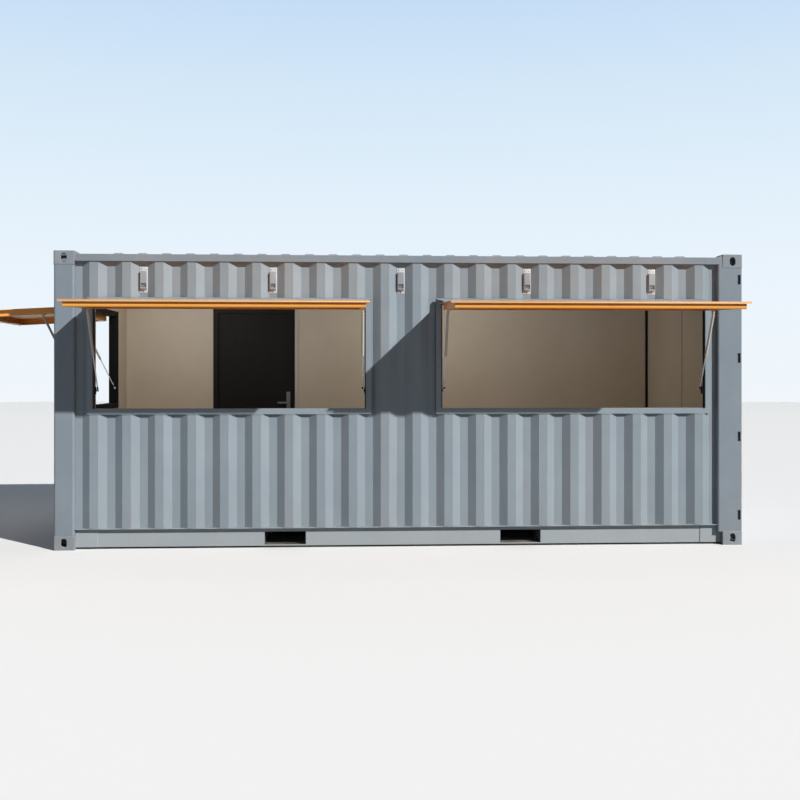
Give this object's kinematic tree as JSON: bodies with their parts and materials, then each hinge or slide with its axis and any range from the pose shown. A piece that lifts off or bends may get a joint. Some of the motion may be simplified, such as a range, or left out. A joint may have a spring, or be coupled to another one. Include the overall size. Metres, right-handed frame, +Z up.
{
  "type": "shipping container cabin",
  "caption": "Steel container cabin with long serving hatches on gas struts, an end hatch, a personnel door and closed cargo doors.",
  "frame": {"origin": "on the ground, midway between the four bottom corner castings", "axes": "+X from the blind end to the cargo doors, +Y from the front wall with the two serving hatches to the back wall, +Z up"},
  "size_m": [7.0022, 3.4162, 2.591],
  "materials": {
    "frame_paint": "satin blue-grey enamel, dusty",
    "wall_paint": "satin blue-grey enamel, lightly weathered",
    "underframe_paint": "dark underframe coating",
    "hatch_frame_paint": "satin blue-grey enamel",
    "orange_paint": "satin orange enamel",
    "strut_paint": "light grey enamel",
    "strut_rod": "polished piston rod",
    "lining_board": "cream painted board",
    "deck_wood": "sealed plywood deck",
    "door_paint": "anthracite powder coat",
    "lever_metal": "brushed",
    "vent_paint": "satin blue-grey enamel"
  },
  "bodies": {
    "cabin": {"back_wall_lining": "lining_board", "back_wall_over_door": "wall_paint", "back_wall_sides": "wall_paint", "blind_end_corner_posts": "frame_paint", "blind_end_lining": "lining_board", "blind_end_rails": "frame_paint", "blind_end_wall_bands": "wall_paint", "blind_end_wall_piers": "wall_paint", "bottom_corner_castings": "frame_paint", "bottom_side_rails": "frame_paint", "cargo_door_hinges": "frame_paint", "cargo_door_lining": "lining_board", "cargo_door_lock_rods": "frame_paint", "ceiling_lining": "lining_board", "door_end_corner_posts": "frame_paint", "door_header": "frame_paint", "door_sill": "frame_paint", "drip_hoods": "wall_paint", "end_hatch_frame": "hatch_frame_paint", "floor_cross_members": "underframe_paint", "floor_deck": "deck_wood", "fork_pockets": "underframe_paint", "front_wall_bands": "wall_paint", "front_wall_lining": "lining_board", "front_wall_piers": "wall_paint", "left_cargo_door": "wall_paint", "left_hatch_frame": "hatch_frame_paint", "personnel_door_frame": "door_paint", "right_cargo_door": "wall_paint", "right_hatch_frame": "hatch_frame_paint", "roof_panel": "wall_paint", "top_corner_castings": "frame_paint", "top_side_rails": "frame_paint", "wall_vents": "vent_paint"},
    "left_flap": {"left_hatch_flap_skin": "orange_paint", "left_hatch_flap_frame": "orange_paint"},
    "left_strut_tubes": {"left_hatch_strut_tubes": "strut_paint"},
    "left_strut_rods": {"left_hatch_strut_rods": "strut_rod"},
    "right_flap": {"right_hatch_flap_skin": "orange_paint", "right_hatch_flap_frame": "orange_paint"},
    "right_strut_tubes": {"right_hatch_strut_tubes": "strut_paint"},
    "right_strut_rods": {"right_hatch_strut_rods": "strut_rod"},
    "end_flap": {"end_hatch_flap_skin": "orange_paint", "end_hatch_flap_frame": "orange_paint"},
    "end_strut_tubes": {"end_hatch_strut_tubes": "strut_paint"},
    "end_strut_rods": {"end_hatch_strut_rods": "strut_rod"},
    "personnel_door": {"personnel_door": "door_paint", "personnel_door_levers": "lever_metal"}
  },
  "joints": [
    {"name": "left_hatch_hinge", "type": "hinge", "parent": "cabin", "child": "left_flap", "pos_m": [-1.515, -1.2225, 2.146], "axis": [1, 0, 0], "range_deg": [0, 87]},
    {"name": "left_strut_swing", "type": "hinge", "parent": "left_flap", "child": "left_strut_tubes", "pos_m": [-1.515, -1.48006, 2.05439], "axis": [1, 0, 0], "range_deg": [-113.46, 0]},
    {"name": "left_strut_slide", "type": "slide", "parent": "left_strut_tubes", "child": "left_strut_rods", "axis": [0, -0.4455, 0.8953], "range_m": [0, 0.24927]},
    {"name": "right_hatch_hinge", "type": "hinge", "parent": "cabin", "child": "right_flap", "pos_m": [1.515, -1.2225, 2.146], "axis": [1, 0, 0], "range_deg": [0, 87]},
    {"name": "right_strut_swing", "type": "hinge", "parent": "right_flap", "child": "right_strut_tubes", "pos_m": [1.515, -1.48006, 2.05439], "axis": [1, 0, 0], "range_deg": [-113.46, 0]},
    {"name": "right_strut_slide", "type": "slide", "parent": "right_strut_tubes", "child": "right_strut_rods", "axis": [0, -0.4455, 0.8953], "range_m": [0, 0.24927]},
    {"name": "end_hatch_hinge", "type": "hinge", "parent": "cabin", "child": "end_flap", "pos_m": [-3.0325, 0, 2.146], "axis": [0, -1, 0], "range_deg": [0, 87]},
    {"name": "end_strut_swing", "type": "hinge", "parent": "end_flap", "child": "end_strut_tubes", "pos_m": [-3.29006, 0, 2.05439], "axis": [0, -1, 0], "range_deg": [-113.46, 0]},
    {"name": "end_strut_slide", "type": "slide", "parent": "end_strut_tubes", "child": "end_strut_rods", "axis": [-0.4455, 0, 0.8953], "range_m": [0, 0.24927]},
    {"name": "personnel_door_hinge", "type": "hinge", "parent": "cabin", "child": "personnel_door", "pos_m": [-1.946, 1.21, 1.21], "axis": [0, 0, 1], "range_deg": [0, 100]}
  ],
  "couplings": [
    {"joint": "left_strut_swing", "follows": "left_hatch_hinge", "ratio": -1.3041},
    {"joint": "left_strut_slide", "follows": "left_hatch_hinge", "m_per_rad": 0.16416},
    {"joint": "right_strut_swing", "follows": "right_hatch_hinge", "ratio": -1.3041},
    {"joint": "right_strut_slide", "follows": "right_hatch_hinge", "m_per_rad": 0.16416},
    {"joint": "end_strut_swing", "follows": "end_hatch_hinge", "ratio": -1.3041},
    {"joint": "end_strut_slide", "follows": "end_hatch_hinge", "m_per_rad": 0.16416}
  ]
}
